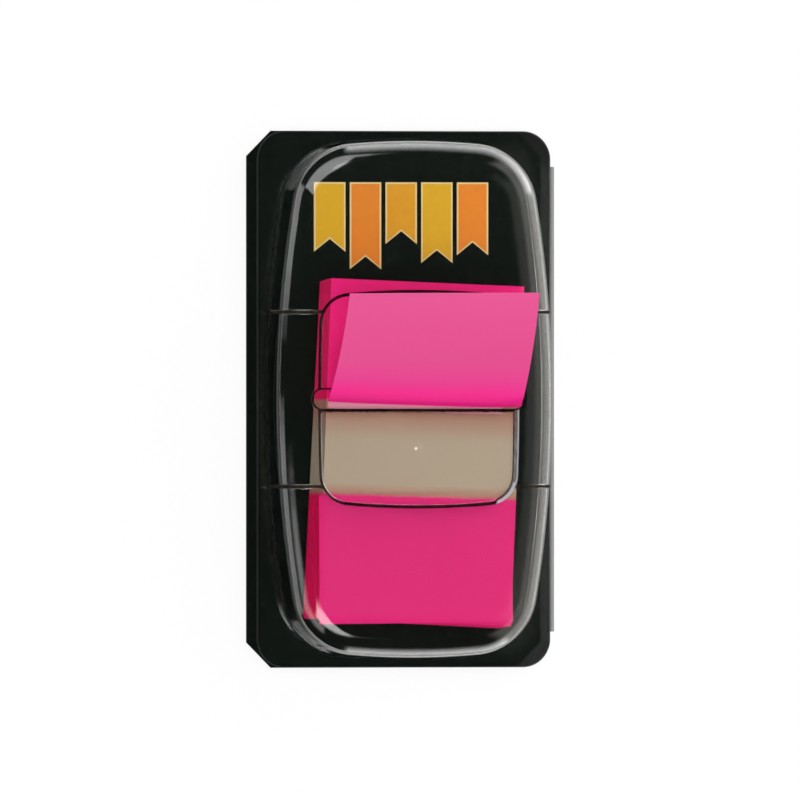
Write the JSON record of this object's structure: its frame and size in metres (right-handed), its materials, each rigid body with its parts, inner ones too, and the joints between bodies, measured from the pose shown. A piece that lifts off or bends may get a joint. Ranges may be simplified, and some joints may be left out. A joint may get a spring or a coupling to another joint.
{
  "type": "index flag dispenser",
  "caption": "Pocket pad of film index flags in a clear domed shell on a black card, with one tab drawn up through the slot",
  "frame": {"origin": "middle of the object's footprint, on the underside of the clear flap that it lies on", "axes": "+Z out of the dome, +Y along the object's length towards its upper end, +X towards the fold"},
  "size_m": [0.0406, 0.0678, 0.0142],
  "materials": {
    "card": "coated black card with a faint sheen",
    "rear_card": "plain uncoated dark grey board",
    "clear_plastic": "thermoformed clear plastic sheet, smooth and glossy",
    "flag_film": "bright pink film with a satin face and clear middles",
    "lead_film": "bright pink film with a satin face and a clear tail"
  },
  "bodies": {
    "root": {"backing_card": "card", "rear_card": "rear_card", "clear_shell": "clear_plastic", "flag_pad": "flag_film", "lead_flag": "lead_film"}
  },
  "joints": []
}
